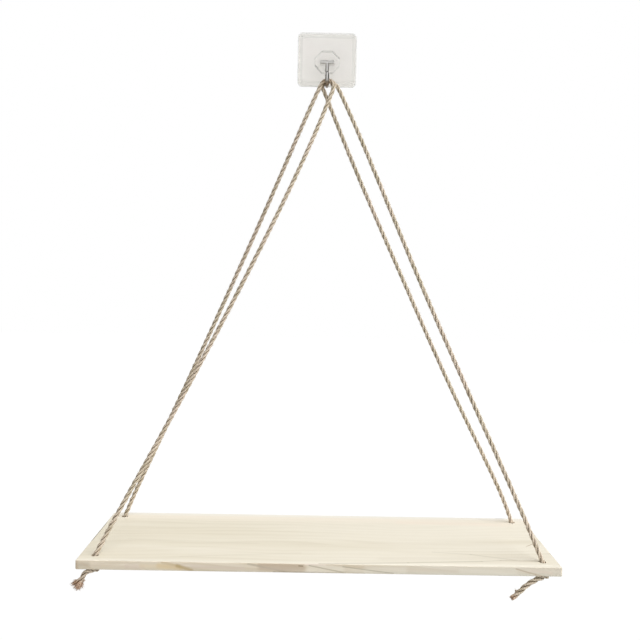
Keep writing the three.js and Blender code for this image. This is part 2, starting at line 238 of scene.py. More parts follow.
# %% Directions square to the path
def headings(points):
    """The way the curve goes at each point."""
    return [(after - before).normalized()
            for before, after in zip([points[0], *points], [*points[1:], points[-1]])]


def carried_frames(path):
    tangents = headings(path)
    side = tangents[0].orthogonal().normalized()
    frames = []
    for tangent in tangents:
        side = (side - tangent * side.dot(tangent)).normalized()
        frames.append((side, tangent.cross(side)))
    return frames


# %% How thick and how tightly laid the rope is along its length
ROPE = 4.5 * MM
KNOT_ROPE = 2 * KNOT_ROPE_RADIUS * MM
LOOSE_ROPE = 5 * MM
KNOT_LENGTH = 42 * MM
INTO_KNOT, OUT_OF_KNOT = 3 * MM, 5 * MM
LAY_LENGTH = 22 * MM
KNOT_LAY_LENGTH = 15 * MM
END_OPENING = 7 * MM
OPENED = {"left_back": 0.6, "left_front": 0.9, "right_front": 0.15, "right_back": 0.6}


def eased(share):
    share = min(max(share, 0), 1)
    return share * share * (3 - 2 * share)


def rope_profile(path, rims, corners):
    """For each point: diameter, angle of the lay, how far it has opened and how near the cut is."""
    total = len(path) - 1
    rows, angle = [], 0.0
    for i in range(len(path)):
        outside = max(rims[0] - i, i - rims[1]) * STEP
        loose = eased((outside - KNOT_LENGTH) / OUT_OF_KNOT)
        drawn = eased(outside / INTO_KNOT) * (1 - loose)
        diameter = ROPE + (KNOT_ROPE - ROPE) * drawn + (LOOSE_ROPE - ROPE) * loose
        cut = eased(1 - min(i, total - i) * STEP / END_OPENING)
        opening = OPENED[corners[0] if i < total / 2 else corners[1]] * cut
        lay = LAY_LENGTH + (KNOT_LAY_LENGTH - LAY_LENGTH) * drawn + LAY_LENGTH * opening
        angle += 2 * math.pi * STEP / lay
        rows.append((diameter, angle, opening, cut))
    return rows


# %% The centreline and the radius of each strand
STRANDS = 3
STRAND_SHARE = 0.5
UNEVENNESS = ((0.035, 9 * MM), (0.03, 4.1 * MM))
OPEN_SWELLING = 0.3
END_SPREAD = 1.3 * MM
SPREAD_RANGE = (0.7, 1.25)


def strand_lines(path, rims, corners, seed):
    """For each strand its points: centre, way out of the rope, radius and how near the cut is."""
    chance = random.Random(seed)
    frames = carried_frames(path)
    profile = rope_profile(path, rims, corners)
    waves = [[chance.uniform(0, 2 * math.pi) for _ in range(3)] for _ in range(STRANDS)]
    lines = []
    for strand in range(STRANDS):
        spread = chance.uniform(*SPREAD_RANGE)
        line = []
        for i, (point, (side, other)) in enumerate(zip(path, frames)):
            diameter, angle, opening, cut = profile[i]
            uneven = 1
            for (depth, length), wave in zip(UNEVENNESS, waves[strand]):
                uneven += depth * math.sin(i * STEP / length + wave)
            radius = diameter / 2 * STRAND_SHARE * uneven * (1 + OPEN_SWELLING * opening)
            turned = angle + 2 * math.pi * strand / STRANDS
            outward = side * math.cos(turned) + other * math.sin(turned)
            reach = diameter / 2 * (1 - STRAND_SHARE) + END_SPREAD * spread * opening**2
            line.append((point + outward * reach, outward, radius, cut))
        lines.append(line)
    return lines


# %% Build strands as a closed mesh
STRAND_SIDES = 14
PATTERN_SHIFT = 0.37


def circle(centre, radius, side, other, count):
    """Points around a centre, in the plane of two directions."""
    for number in range(count):
        around = 2 * math.pi * number / count
        yield centre + radius * (math.cos(around) * side + math.sin(around) * other)


def quads(start, rings, sides):
    """The faces between rings of points that follow one another."""
    for ring in range(rings):
        for side in range(sides):
            low = start + ring * sides + side
            next_low = start + ring * sides + (side + 1) % sides
            yield low, next_low, next_low + sides, low + sides


def add_strand(verts, faces, coords, line, first, last, shift):
    """Adds one strand between two points of its line, with its ends closed."""
    start, sides, rings = len(verts), STRAND_SIDES, last - first
    ways = headings([row[0] for row in line])
    for (centre, outward, radius, _), heading in zip(line[first:last + 1], ways[first:last + 1]):
        face_out = (outward - heading * outward.dot(heading)).normalized()
        verts.extend(circle(centre, radius, face_out, heading.cross(face_out), sides))
    faces.extend(quads(start, rings, sides))
    for ring in range(rings):
        v = (first + ring) * STEP + shift
        for side in range(sides):
            u, next_u = side / sides, (side + 1) / sides
            coords.append(((u, v), (next_u, v), (next_u, v + STEP), (u, v + STEP)))
    for ring, order in ((0, -1), (rings, 1)):
        rim = range(start + ring * sides, start + (ring + 1) * sides)
        faces.append(tuple(rim)[::order])
        v = (first + ring) * STEP + shift
        coords.append(tuple((side / sides, v) for side in range(sides)))


def mesh_piece(name, verts, faces, coords, cut):
    """A smooth piece with a UV map, and with how near each point is to the cut as an attribute."""
    mesh = bpy.data.meshes.new(name)
    mesh.from_pydata(verts, [], faces)
    layer = mesh.uv_layers.new(name="UVMap")
    flat = [number for face in coords for pair in face for number in pair]
    layer.data.foreach_set("uv", flat)
    mesh.attributes.new("cut", "FLOAT", "POINT").data.foreach_set("value", cut)
    mesh.polygons.foreach_set("use_smooth", [True] * len(mesh.polygons))
    mesh.update()
    piece = bpy.data.objects.new(name, mesh)
    bpy.context.scene.collection.objects.link(piece)
    return piece


def strands_piece(name, lines, first, last):
    verts, faces, coords, cut = [], [], [], []
    for number, line in enumerate(lines):
        add_strand(verts, faces, coords, line, first, last, number * PATTERN_SHIFT)
        for i in range(first, last + 1):
            cut.extend([line[i][3]] * STRAND_SIDES)
    return mesh_piece(name, verts, faces, coords, cut)


# %% Make both ropes, their knots and their loose ends
ROPE_SEEDS = {"left": 11, "right": 23}

ropes = {}
for side, (path, rims) in routes.items():
    lines = strand_lines(path, rims, CORNERS[side], ROPE_SEEDS[side])
    rope = strands_piece(f"laid_rope_{side}", lines, rims[0], rims[1])
    ends = [strands_piece(f"knotted_end_{side}_a", lines, 0, rims[0]),
            strands_piece(f"knotted_end_{side}_b", lines, rims[1], len(path) - 1)]
    ropes[side] = {"path": path, "rims": rims, "lines": lines, "rope": rope, "ends": ends}
    print(side, "rope faces:", len(rope.data.polygons), "ends:",
          [len(piece.data.polygons) for piece in ends])

# %% [markdown]
# ## Loose fibres
#
# A jute rope is never smooth: short fibres stand off it everywhere, and the cut ends open into
# small brushes. Blender's hair would give them, but hair isn't a mesh. So each fibre is a thin
# three-sided spike on a bent line, and all the fibres of a rope are one piece.

# %% One fibre
FIBRE_SIDES = 3
FIBRE_RINGS = 4
FIBRE_TAPER = 0.7


def add_fibre(verts, faces, coords, root, heading, bend, length, thickness):
    start = len(verts)
    heading = heading.normalized()
    side = heading.orthogonal().normalized()
    other = heading.cross(side)
    for ring in range(FIBRE_RINGS):
        t = ring / FIBRE_RINGS
        centre = root + heading * (length * t) + bend * (length * t * t)
        width = thickness / 2 * (1 - FIBRE_TAPER * t)
        verts.extend(circle(centre, width, side, other, FIBRE_SIDES))
    tip = len(verts)
    verts.append(root + heading * length + bend * length)
    faces.extend(quads(start, FIBRE_RINGS - 1, FIBRE_SIDES))
    top = tip - FIBRE_SIDES
    for corner in range(FIBRE_SIDES):
        faces.append((top + corner, top + (corner + 1) % FIBRE_SIDES, tip))
    faces.append(tuple(reversed(range(start, start + FIBRE_SIDES))))
    # Each fibre has one colour: its place in the pattern only has to differ from the others'.
    spot = (0, root.x * 3 + root.z * 5 + length * 7)
    for face in faces[len(coords):]:
        coords.append([spot] * len(face))


# %% Fibres that stand off the ropes
FIBRES_PER_ROPE = 1700
CLEAR_OF_ENDS = 4
ROOT_DEPTH = 0.93
LEAN_WIDE, LEAN_ALONG, LEAN_OUT, FUZZ_BEND = 0.8, (0.6, 2.2), (0.25, 1), (0, 0.35)
FUZZ_LENGTH, FUZZ_THICKNESS = (1.6, 5.2), (0.06, 0.11)


def random_direction(chance):
    while True:
        aim = Vector([chance.uniform(-1, 1) for _ in range(3)])
        if 0.1 < aim.length < 1:
            return aim.normalized()


def add_fuzz(shape, lines, chance):
    last = len(lines[0]) - 1
    for _ in range(FIBRES_PER_ROPE):
        line = chance.choice(lines)
        i = chance.randint(CLEAR_OF_ENDS, last - CLEAR_OF_ENDS)
        centre, outward, radius, _ = line[i]
        along = (line[i + 1][0] - line[i - 1][0]).normalized() * chance.choice((-1, 1))
        wide = random_direction(chance)
        if wide.dot(outward) < 0:
            wide.negate()
        out = (outward + LEAN_WIDE * wide).normalized()
        heading = along * chance.uniform(*LEAN_ALONG) + out * chance.uniform(*LEAN_OUT)
        bend = random_direction(chance) * chance.uniform(*FUZZ_BEND)
        length = chance.uniform(*FUZZ_LENGTH) * MM
        add_fibre(*shape, centre + out * radius * ROOT_DEPTH, heading, bend, length,
                  chance.uniform(*FUZZ_THICKNESS) * MM)


# %% Brushes at the cut ends
BRUSH_FIBRES = 170
BRUSH_ROOTS, BRUSH_THICKNESS, BRUSH_BEND = (0.3, 3.5), (0.3, 0.5), 0.25
TUFT_BEND, TUFT_CUT = 0.1, 0.45
# The longest fibre in millimetres, and how widely they fan out.
BRUSHES = {
    "left_back": (5, 0.5), "left_front": (6.2, 0.75),
    "right_front": (2.2, 0.25), "right_back": (5, 0.5),
}
# Millimetres back from the end, heading, longest fibre, count and spread.
TUFTS = {
    "left_front": (3.5, (1, 0, 0.12), 5.5, 60, 0.16),
    "right_front": (6, (-0.45, 0, 1), 4.6, 34, 0.2),
}


def middle_of(lines, i):
    return sum((line[i][0] for line in lines), Vector()) / len(lines)


def add_thick_fibre(shape, root, heading, bend, shortest, longest, chance):
    add_fibre(*shape, root, heading, random_direction(chance) * bend,
              chance.uniform(shortest, 1) * longest * MM, chance.uniform(*BRUSH_THICKNESS) * MM)


def add_brush(shape, lines, end, inward, corner, chance):
    """The fibres fan out from the last millimetres of each strand."""
    longest, spread = BRUSHES[corner]
    middle = middle_of(lines, end)
    for line in lines:
        centre, _, radius, _ = line[end]
        away = (centre - line[end + 2 * inward][0]).normalized()
        fan = (centre - middle).normalized()
        for _ in range(BRUSH_FIBRES):
            aside = random_direction(chance)
            root = centre - away * chance.uniform(*BRUSH_ROOTS) * MM + aside * radius * 0.7
            heading = away + fan * spread * chance.uniform(0.1, 1) + aside * spread * 0.6
            add_thick_fibre(shape, root, heading, BRUSH_BEND, 0.5, longest, chance)


def add_tuft(shape, lines, end, inward, corner, chance):
    """A lock that has come loose and stands off to one side."""
    back, heading, longest, count, spread = TUFTS[corner]
    middle = middle_of(lines, end + inward * round(back * MM / STEP))
    for _ in range(count):
        aim = Vector(heading).normalized() + random_direction(chance) * spread
        root = middle + random_direction(chance) * MM
        add_thick_fibre(shape, root, aim, TUFT_BEND, 0.7, longest, chance)


def fuzz_piece(name, lines, corners, seed):
    chance = random.Random(seed)
    shape = verts, faces, coords = [], [], []
    add_fuzz(shape, lines, chance)
    cut = [0.0] * len(verts)
    for end, inward, corner in ((0, 1, corners[0]), (len(lines[0]) - 1, -1, corners[1])):
        add_brush(shape, lines, end, inward, corner, chance)
        cut.extend([1.0] * (len(verts) - len(cut)))
        if corner in TUFTS:
            add_tuft(shape, lines, end, inward, corner, chance)
            cut.extend([TUFT_CUT] * (len(verts) - len(cut)))
    return mesh_piece(name, verts, faces, coords, cut)


FUZZ_SEEDS = {"left": 5, "right": 6}
for side, made in ropes.items():
    made["fuzz"] = fuzz_piece(f"rope_fibres_{side}", made["lines"], CORNERS[side],
                              FUZZ_SEEDS[side])
    print(side, "fibre faces:", len(made["fuzz"].data.polygons))

# %% Hand the ropes to the frame
for side, made in ropes.items():
    for piece in (made["rope"], made["fuzz"], *made["ends"]):
        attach(piece, "shelf")
    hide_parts(f"rope_{side}")
    for piece, corner in zip(made["ends"], CORNERS[side]):
        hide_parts(f"knot_{corner}", f"tail_{corner}")

# %% [markdown]
# ## Shader arithmetic
#
# Node trees are hard to read as code when every sum is a node. So one small class wraps a socket
# and lets ordinary arithmetic be written on it, and others hold a tree or a material that is being
# made. Colours go through Mix nodes, because a Math node would turn them grey.

# %% A socket that can be reckoned with
class Value:
    def __init__(self, tree, socket):
        self.tree = tree
        self.socket = socket

    def math(self, operation, *others, reflected=False):
        """A Math node on this value and the others, or on them and then this value."""
        node = self.tree.nodes.new("ShaderNodeMath")
        node.operation = operation
        for place, item in zip(node.inputs, (*others, self) if reflected else (self, *others)):
            plug(self.tree, item, place)
        return Value(self.tree, node.outputs[0])

    __add__ = __radd__ = partialmethod(math, "ADD")
    __mul__ = __rmul__ = partialmethod(math, "MULTIPLY")
    __sub__ = partialmethod(math, "SUBTRACT")
    __rsub__ = partialmethod(math, "SUBTRACT", reflected=True)
    __truediv__ = partialmethod(math, "DIVIDE")
    __rtruediv__ = partialmethod(math, "DIVIDE", reflected=True)
    __pow__ = partialmethod(math, "POWER")
    __rpow__ = partialmethod(math, "POWER", reflected=True)
    size = partialmethod(math, "ABSOLUTE")
    fraction = partialmethod(math, "FRACT")
    cosine = partialmethod(math, "COSINE")
    sine = partialmethod(math, "SINE")
    at_least = partialmethod(math, "MAXIMUM")
    at_most = partialmethod(math, "MINIMUM")


def plug(tree, item, socket):
    if isinstance(item, Value):
        tree.links.new(item.socket, socket)
    else:
        socket.default_value = item


# %% A node tree under construction
class Tree:
    def __init__(self, node_tree):
        self.tree = node_tree

    def node(self, kind, settings=None, inputs=None, output=0):
        node = self.tree.nodes.new("ShaderNode" + kind)
        for name, value in (settings or {}).items():
            setattr(node, name, value)
        for name, item in (inputs or {}).items():
            plug(self.tree, item, node.inputs[name])
        return Value(self.tree, node.outputs[output])

    def split(self, vector):
        node = self.node("SeparateXYZ", inputs={"Vector": vector}).socket.node
        return [Value(self.tree, output) for output in node.outputs]

    def join(self, x, y, z):
        return self.node("CombineXYZ", inputs={"X": x, "Y": y, "Z": z})

    def noise(self, vector, scale, detail=2, roughness=0.5):
        inputs = {"Vector": vector, "Scale": scale, "Detail": detail, "Roughness": roughness}
        return self.node("TexNoise", inputs=inputs)

    def ramp(self, value, low, high):
        """From 0 at low to 1 at high, eased. Low may be the higher number."""
        inputs = {"Value": value, "From Min": low, "From Max": high}
        return self.node("MapRange", {"interpolation_type": "SMOOTHSTEP"}, inputs)

    def ramp_mm(self, value, low, high):
        return self.ramp(value, low * MM, high * MM)

    def mix(self, share, first, second):
        """Blends two colours, for which a Mix node has its inputs 6 and 7 and its output 2."""
        return self.node("Mix", {"data_type": "RGBA"}, {0: share, 6: first, 7: second}, output=2)

    def layers(self, base, *layers):
        """Lays colours over a base one after another, each by a share."""
        for share, tint in layers:
            base = self.mix(share, base, color(*tint))
        return base


class Finish(Tree):
    def __init__(self, name, **constants):
        self.material = bpy.data.materials.new(name)
        self.material.use_nodes = True
        super().__init__(self.material.node_tree)
        self.surface = self.tree.nodes["Principled BSDF"]
        self.set(**constants)

    def set(self, **inputs):
        for name, item in inputs.items():
            plug(self.tree, item, self.surface.inputs[name.replace("_", " ")])

    def bump(self, height, strength, distance):
        inputs = {"Height": height, "Strength": strength, "Distance": distance}
        self.set(Normal=self.node("Bump", inputs=inputs))

    def place(self):
        return self.node("TexCoord", output="Object")


def color(*shown):
    """A colour as it looks on the screen, from 0 to 255, as the shader's linear numbers."""
    return (*Color([value / 255 for value in shown]).from_srgb_to_scene_linear(), 1)


def dress(piece, finish):
    piece.data.materials.clear()
    piece.data.materials.append(finish.material)


# %% [markdown]
# ## Jute
#
# Raw jute is a dull gold that wanders between olive, grey and pink along the rope. Its fibres run
# along each strand and turn around it the other way, so the pattern is drawn on the strand's own
# coordinates: once around it, and metres along it. The groove between two strands holds painted
# shade, on the side of each strand that faces the rope's middle. Painted shade also darkens the
# rope where it folds over the wire, on its side away from the light and under the board. A rope
# is pinker at a fresh cut.

# %% Make the jute
YARN_TURN = 26 * MM
AROUND_SCALE, ALONG_SCALE = 2.2, 130
FOLD_Y, FOLD_Z = -17 * MM, -28 * MM

jute = Finish("jute", Roughness=0.92, Specular_IOR_Level=0.2)
around, along, _ = jute.split(jute.node("UVMap", {"uv_map": "UVMap"}))
x, y, z = jute.split(jute.place())
angle = (around - along / YARN_TURN) * (2 * math.pi)
ring = jute.join(angle.cosine() * AROUND_SCALE, angle.sine() * AROUND_SCALE, along * ALONG_SCALE)
fibres = jute.noise(ring, 2.4, 3, 0.6)
spots = jute.noise(jute.place(), 120, 2)
drift = jute.noise(jute.place(), 17, 3)
inward = (around * (2 * math.pi)).cosine()
from_fold = (x * x + (y - FOLD_Y) * (y - FOLD_Y) + (z - FOLD_Z) * (z - FOLD_Z)) ** 0.5
under_board = jute.ramp(z, -0.5, -0.504)
cut = jute.node("Attribute", {"attribute_name": "cut"}, output=2)
base = jute.mix(jute.ramp(drift, 0.35, 0.65), color(205, 192, 170), color(212, 195, 178))
base = jute.layers(
    base,
    # Olive patches, bright fibres, painted shade between fibres and painted shade in the groove
    # between strands.
    (jute.ramp(spots, 0.48, 0.7) * 0.6, (164, 154, 124)),
    (jute.ramp(fibres, 0.45, 0.75), (234, 224, 207)),
    (jute.ramp(fibres, 0.46, 0.22) * 0.8, (146, 126, 98)),
    (jute.ramp(inward, 0.5, -0.3) * 0.85, (98, 80, 57)),
    # Painted shade in the fold over the wire, on the side away from the light and under the board;
    # the pinker cut ends.
    (jute.ramp_mm(from_fold, 9, 4.5) * 0.6, (124, 98, 70)),
    (jute.ramp(x, -0.01, -0.06) * 0.16, (116, 100, 74)),
    (jute.ramp(inward, 0.8, 0.1) * under_board * 0.4, (92, 74, 52)),
    (jute.ramp(cut, 0, 1) * (0.15 + spots * 0.7), (198, 154, 122)),
)
jute.set(Base_Color=base)
jute.bump(fibres, 0.6, 0.4 * MM)
for made in ropes.values():
    for piece in (made["rope"], made["fuzz"], *made["ends"]):
        dress(piece, jute)

# %% [markdown]
# ## Modelling by hand
#
# The hard pieces are made as in the viewport: a primitive, edit mode, a few faces or edges picked,
# then an extrusion, an inset, a bevel or a cut. The helpers only save words. One of them picks by
# place and direction, which is what a click does by eye.

# %% Tools for modelling by hand
ALONG, ACROSS = 0.9, 0.1
CLOSE, ROUGHLY = MM / 100, MM / 10


def begin(piece=None):
    """Starts a step in object mode, with one piece selected or none."""
    bpy.ops.object.select_all(action="DESELECT")
    if piece:
        bpy.context.view_layer.objects.active = piece
        piece.select_set(True)


def edit():
    bpy.ops.object.mode_set(mode="EDIT")


def done(name=None):
    bpy.ops.object.mode_set(mode="OBJECT")
    piece = bpy.context.object
    bpy.ops.object.transform_apply()
    if name:
        piece.name = name
        piece.data.name = name
    return piece


def pick(kind, test):
    """Selects the faces or edges for whose middle and direction the test is true."""
    bpy.ops.mesh.select_mode(type=kind)
    bpy.ops.mesh.select_all(action="DESELECT")
    shape = bmesh.from_edit_mesh(bpy.context.object.data)
    found = 0
    for item in shape.faces if kind == "FACE" else shape.edges:
        ends = [vert.co for vert in item.verts]
        way = item.normal if kind == "FACE" else (ends[1] - ends[0]).normalized()
        if test(sum(ends, Vector()) / len(ends), way):
            item.select_set(True)
            found += 1
    bmesh.update_edit_mesh(bpy.context.object.data)
    return found


def bevel(test, width, segments):
    """Rounds the edges for which the test is true, or cuts them back where segments is 1."""
    found = pick("EDGE", test)
    bpy.ops.mesh.bevel(offset=width, segments=segments, affect="EDGES")
    return found


def runs_back(middle, way):
    return abs(way.y) > ALONG


LYING = (0, math.pi / 2, 0)


def cylinder(radius, length, middle, sides=48, turned=(0, 0, 0)):
    begin()
    bpy.ops.mesh.primitive_cylinder_add(vertices=sides, radius=radius, depth=length,
                                        location=middle, rotation=turned)


def combine(piece, operation="DIFFERENCE"):
    """Cuts a piece with the one just modelled, or joins the two."""
    other = done()
    begin(piece)
    modifier = piece.modifiers.new(operation.lower(), "BOOLEAN")
    modifier.operation = operation
    modifier.solver = "EXACT"
    modifier.object = other
    bpy.ops.object.modifier_apply(modifier=modifier.name)
    bpy.data.objects.remove(other)


def smooth(piece, degrees=35):
    """Smooth shading that leaves the flat faces flat."""
    begin(piece)
    bpy.ops.object.shade_smooth_by_angle(angle=math.radians(degrees))
    weighting = piece.modifiers.new("weighting", "WEIGHTED_NORMAL")
    weighting.keep_sharp = True
    bpy.ops.object.modifier_apply(modifier=weighting.name)
    print("finished", piece.name, "with", len(piece.data.polygons), "faces")


def block(low, high):
    """A cube between two corners, left in edit mode."""
    begin()
    middle = [(a + b) / 2 for a, b in zip(low, high)]
    bpy.ops.mesh.primitive_cube_add(size=1, location=middle)
    bpy.ops.transform.resize(value=[b - a for a, b in zip(low, high)])
    bpy.ops.object.transform_apply()
    edit()


# %% [markdown]
# ## The board
#
# A plank is a box, but no plank has sharp edges: a sander rounds the corners and breaks every
# rim, and the drill leaves a tiny chamfer around each hole. Those thin rounds catch the light and
# draw the bright line along the front rim, which a painted highlight on the top makes stronger.

# %% Saw, round and drill the board
BOARD_WIDTH, BOARD_DEPTH, BOARD_THICKNESS = 450 * MM, 150 * MM, 8.6 * MM
BOARD_TOP = -494.8 * MM
BOARD_BACK = -0.5 * MM
BOARD_FRONT = BOARD_BACK - BOARD_DEPTH
BOARD_BOTTOM = BOARD_TOP - BOARD_THICKNESS
HOLE_RADIUS = 3.25 * MM
CORNER_ROUND, RIM_ROUND, HOLE_ROUND = 1.5 * MM, 0.8 * MM, 0.35 * MM
HOLES = [(x, y) for x in (-210.5 * MM, 210.5 * MM) for y in (-15 * MM, -136 * MM)]


def on_hole_rim(middle, way):
    on_face = min(abs(middle.z - BOARD_TOP), abs(middle.z - BOARD_BOTTOM)) < CLOSE
    return on_face and any(math.hypot(middle.x - x, middle.y - y) < HOLE_RADIUS + ROUGHLY
                           for x, y in HOLES)


block((-BOARD_WIDTH / 2, BOARD_FRONT, BOARD_BOTTOM), (BOARD_WIDTH / 2, BOARD_BACK, BOARD_TOP))
bevel(lambda middle, way: abs(way.z) > ALONG, CORNER_ROUND, 6)
bevel(lambda middle, way: abs(way.z) < ACROSS, RIM_ROUND, 4)
board = done("pine_board")
for x, y in HOLES:
    cylinder(HOLE_RADIUS, 3 * BOARD_THICKNESS, (x, y, BOARD_TOP))
    combine(board)
begin(board)
edit()
print("rim edges:", bevel(on_hole_rim, HOLE_ROUND, 2))
done()
smooth(board, 40)
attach(board, "shelf")
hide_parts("board")

# %% [markdown]
# ## Pine
#
# The board is flat-sawn pine, almost white. Its rings cross the top as long lenses and lines that
# come and go, so the top is drawn by a field whose value is the number of the ring, bent by slow
# noise that is stretched along the grain. The front edge cuts the same rings at a slant. A few
# lines that stand out on this board are placed one by one, as strokes between two points. Two of
# them are painted light: a highlight along the front rim and shade along the rim of the left end.

# %% Helpers of the pine
pine = Finish("pine", Roughness=0.6, Specular_IOR_Level=0.35)
x, y, z = pine.split(pine.place())


def stretched(along_grain, across, detail=2, roughness=0.5):
    """Noise in long fibres: its scales are in waves per metre."""
    return pine.noise(pine.join(x * along_grain, y * across, z * across), 1, detail, roughness)


def band(field, rise, peak):
    """The late wood of each ring: darkens from rise to peak, then breaks off."""
    phase = field.fraction()
    return pine.ramp(phase, rise, peak) * pine.ramp(phase, 1, peak + 0.3 * (1 - peak))


def stroke(across, ends, half_width):
    """A soft stroke in the plane of x and another coordinate, given in millimetres."""
    x0, c0, x1, c1 = (number * MM for number in ends)
    long_x, long_c = x1 - x0, c1 - c0
    share = ((x - x0) * long_x + (across - c0) * long_c) / (long_x**2 + long_c**2)
    share = share.at_least(0).at_most(1)
    off_x, off_c = x - x0 - share * long_x, across - c0 - share * long_c
    distance = (off_x * off_x + off_c * off_c) ** 0.5
    return pine.ramp_mm(distance, half_width, 0)


def strokes(across, rows):
    """Strokes as layers. A row has two ends, half the width, the density and the colour."""
    return [(stroke(across, row[:4], row[4]) * row[5], row[6:]) for row in rows]


normal_x, normal_y, normal_z = pine.split(pine.node("TexCoord", output="Normal"))
on_front = pine.ramp(normal_y, -0.4, -0.75)
on_end = pine.ramp(normal_x.size(), 0.4, 0.75)
on_top = pine.ramp(normal_z.size(), 0.4, 0.75)

# %% The marks of this board and two strokes of painted light, placed one by one
TOP_MARKS_AND_PAINTED_LIGHT = [
    # A painted highlight along the front rim, and the dark line from it to the front right hole.
    (10, -149.8, 215, -145.5, 3, 0.85, 252, 246, 230),
    (0, -149.4, 82.7, -143.6, 2.1, 0.6, 192, 183, 160),
    (82.7, -143.6, 152.7, -137, 2.1, 0.6, 192, 183, 160),
    (152.7, -137, 171.1, -134, 1.4, 0.55, 190, 180, 158),
    (171.1, -134, 212, -134, 1.3, 0.7, 180, 166, 144),
    # A lens of grain at the right, long rings at the left and the pale back.
    (110, -113.6, 145.9, -118.5, 2.0, 0.35, 206, 198, 178),
    (145.9, -118.5, 186, -132.5, 2.2, 0.45, 198, 190, 168),
    (60, -135, 190, -126, 9, 0.3, 226, 218, 199),
    (-130, -136, -18, -122, 2.6, 0.2, 206, 197, 174),
    (-190, -88, -60, -97, 3, 0.16, 206, 197, 174),
    (90, -22, 200, -24, 11, 0.5, 247, 233, 215),
    # Dents and a fleck at the right, and painted shade along the rim of the left end.
    (176, -5.6, 206, -11.5, 1.6, 0.4, 214, 208, 196),
    (197, -1.8, 206, -1.8, 1.4, 0.7, 196, 192, 186),
    (206.5, -92.6, 217, -83.4, 0.9, 0.75, 160, 132, 96),
    (-224.4, -96, -224.4, -38, 1.1, 0.85, 120, 110, 92),
]
FRONT_MARKS = [
    # Broad dark and pale stretches.
    (-222, -499, -214, -499, 5, 0.5, 172, 160, 140),
    (-54, -499, -16, -499.3, 5.5, 0.65, 182, 164, 142),
    (-9, -499.3, 20, -499.5, 5.5, 0.65, 232, 226, 210),
    (44, -499.3, 78, -499.5, 5.5, 0.4, 232, 228, 214),
    (132, -499.3, 180, -499.5, 5.5, 0.35, 232, 228, 214),
    # The rings that surface at the left.
    (-178, -499.5, -163, -500.3, 3.5, 0.6, 211, 196, 180),
    (-164, -499, -140, -500, 4, 0.35, 216, 198, 158),
    (-148, -498.6, -128, -500.8, 4.2, 0.6, 214, 192, 148),
    (-145, -495.4, -129, -498.8, 2.2, 0.6, 192, 170, 130),
    (-131, -498.6, -118, -502.6, 3.1, 0.8, 176, 154, 112),
    (-119.8, -503, -76.3, -503.3, 1.2, 0.7, 168, 154, 126),
    (-118, -498.6, -70, -500, 3, 0.5, 210, 196, 182),
    # The small knot, with the grain that flows around it.
    (-66, -495.6, -28, -503.2, 1.6, 0.65, 176, 164, 146),
    (-56, -496.2, -20, -496.7, 2.2, 0.6, 190, 170, 150),
    (-50, -499.5, -18, -501.5, 2.4, 0.5, 196, 182, 164),
    (-42, -503.1, 24, -503.4, 1.4, 0.85, 150, 136, 118),
    (-13, -495.4, 5, -495.7, 1.6, 0.6, 232, 220, 208),
    (0, -496.6, 42, -500, 1.6, 0.5, 224, 216, 198),
    (-9.5, -496.3, 22, -502.4, 1, 0.75, 172, 162, 142),
    (21.6, -496.9, 68.2, -502.6, 1, 0.75, 178, 170, 150),
    (-19, -496.8, -15.6, -497, 1.2, 0.8, 134, 112, 88),
    # Both ends.
    (-225, -496.5, -224.4, -502.5, 4, 0.85, 184, 164, 140),
    (-219, -497, -209, -503, 2.2, 0.4, 196, 178, 152),
    (182, -496.6, 199.9, -501.5, 1.1, 0.8, 184, 168, 146),
    (199.9, -501.5, 208, -503.4, 1.1, 0.8, 186, 168, 146),
    (196, -497.8, 215, -500, 2.4, 0.4, 222, 204, 188),
]
print("marks placed by hand:", len(TOP_MARKS_AND_PAINTED_LIGHT) + len(FRONT_MARKS))

# %% The wood of the top and the underside
slow = stretched(3.2, 11, 2)
tone = stretched(4, 34, 2)
ring_number = y * 82 + slow * 7 + stretched(12, 60) * 0.5
strength = pine.ramp(stretched(5, 40), 0.42, 0.66)
wood = pine.mix(pine.ramp(x, -0.22, 0.16), color(234, 226, 206), color(243, 236, 219))
wood = pine.layers(
    wood,
    # Slow changes of tone, and the rings.
    (pine.ramp(tone, 0.5, 0.72) * 0.4, (229, 220, 198)),
    (pine.ramp(tone, 0.46, 0.25) * 0.5, (248, 242, 228)),
    (band(ring_number, 0.3, 0.84) * (0.08 + strength * 0.24), (216, 206, 182)),
    # A painted highlight along the front rim, then the back of the board in two steps.
    (pine.ramp(y, -0.1415, -0.1465) * 0.6, (247, 240, 224)),
    (pine.ramp(y, -0.034, -0.014) * 0.8, (247, 238, 221)),
    (pine.ramp(y, -0.013, -0.002) * 0.8, (247, 243, 233)),
    *((share * on_top, tint) for share, tint in strokes(y, TOP_MARKS_AND_PAINTED_LIGHT)),
)

# %% The wood of the front edge and the ends
RING_SLOPE, RING_HEIGHT = 0.088, 0.0056

slant = z + x * RING_SLOPE + (stretched(9, 70) - 0.5) * 0.006
fade = pine.ramp(x, -0.17, -0.09)
greener = pine.ramp(x, -0.02, 0.1) * 0.3 + 0.2
# The front edge's base colour is darker than the top's: painted shade.
edge_wood_and_shade = pine.layers(
    color(211, 198, 177),
    (pine.ramp(stretched(14, 260), 0.35, 0.65), (222, 211, 193)),
    (band(slant / RING_HEIGHT, 0.25, 0.8) * (0.12 + fade * 0.5), (204, 190, 166)),
    # Towards the lower rim and the right end.
    (pine.ramp(z, -0.4985, -0.5028) * greener, (200, 199, 184)),
    (pine.ramp(x, 0.02, 0.12) * 0.5, (220, 215, 202)),
    *strokes(z, FRONT_MARKS),
)
end_ring = (y * 0.35 + z) * 210 + slow
end_wood = pine.layers(color(214, 201, 178), (band(end_ring, 0.2, 0.8) * 0.5, (188, 170, 140)))

